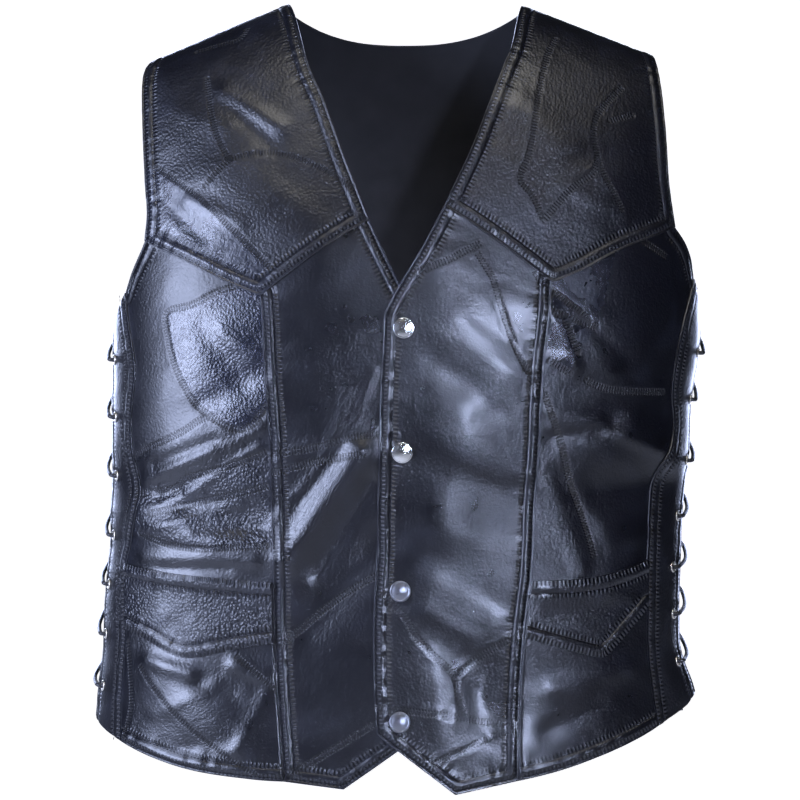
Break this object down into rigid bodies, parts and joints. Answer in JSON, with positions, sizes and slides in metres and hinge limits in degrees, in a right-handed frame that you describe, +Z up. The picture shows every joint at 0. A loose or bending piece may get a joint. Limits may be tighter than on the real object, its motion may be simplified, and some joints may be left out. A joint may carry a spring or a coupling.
{
  "type": "leather vest",
  "caption": "Sleeveless leather vest with a V neck, pointed yokes, snap front, pointed pocket flaps, pointed front hem and laced sides, filled out as worn.",
  "frame": {"origin": "between the two shoulders, at the height where the wearer's shoulders carry the straps; a mount of kind other", "axes": "+Z up, -Y the way the fronts face, +X towards the wearer's left"},
  "size_m": [0.4752, 0.2249, 0.6019],
  "materials": {
    "leather_smooth": "smooth black leather with a blue cast, semi-gloss",
    "leather_grained": "pebbled black leather, semi-gloss",
    "snap_bright": "bright nickel",
    "snap_dark": "dark nickel, brushed",
    "eyelet": "nickel with a warm tint",
    "lace": "round black leather lace"
  },
  "bodies": {
    "root": {"front_center_right": "leather_smooth", "front_center_left": "leather_smooth", "front_side_right": "leather_smooth", "front_side_left": "leather_smooth", "pocket_right": "leather_smooth", "pocket_left": "leather_smooth", "pocket_flap_right": "leather_grained", "pocket_flap_left": "leather_grained", "yoke_right": "leather_grained", "yoke_left": "leather_grained", "side_strip_front_right": "leather_smooth", "side_strip_front_left": "leather_smooth", "side_strip_back_right": "leather_smooth", "side_strip_back_left": "leather_smooth", "back": "leather_smooth", "snap_cap_1": "snap_bright", "snap_stud_1": "snap_bright", "snap_cap_2": "snap_bright", "snap_stud_2": "snap_bright", "snap_cap_3": "snap_dark", "snap_stud_3": "snap_bright", "snap_cap_4": "snap_dark", "snap_stud_4": "snap_bright", "eyelet_front_right_1": "eyelet", "eyelet_front_right_2": "eyelet", "eyelet_front_right_3": "eyelet", "eyelet_front_right_4": "eyelet", "eyelet_front_right_5": "eyelet", "eyelet_front_right_6": "eyelet", "eyelet_front_right_7": "eyelet", "eyelet_front_left_1": "eyelet", "eyelet_front_left_2": "eyelet", "eyelet_front_left_3": "eyelet", "eyelet_front_left_4": "eyelet", "eyelet_front_left_5": "eyelet", "eyelet_front_left_6": "eyelet", "eyelet_front_left_7": "eyelet", "eyelet_back_right_1": "eyelet", "eyelet_back_right_2": "eyelet", "eyelet_back_right_3": "eyelet", "eyelet_back_right_4": "eyelet", "eyelet_back_right_5": "eyelet", "eyelet_back_right_6": "eyelet", "eyelet_back_right_7": "eyelet", "eyelet_back_left_1": "eyelet", "eyelet_back_left_2": "eyelet", "eyelet_back_left_3": "eyelet", "eyelet_back_left_4": "eyelet", "eyelet_back_left_5": "eyelet", "eyelet_back_left_6": "eyelet", "eyelet_back_left_7": "eyelet", "lace_right": "lace", "lace_left": "lace", "lace_knot_right_1": "lace", "lace_knot_right_2": "lace", "lace_knot_left_1": "lace", "lace_knot_left_2": "lace"}
  },
  "joints": []
}
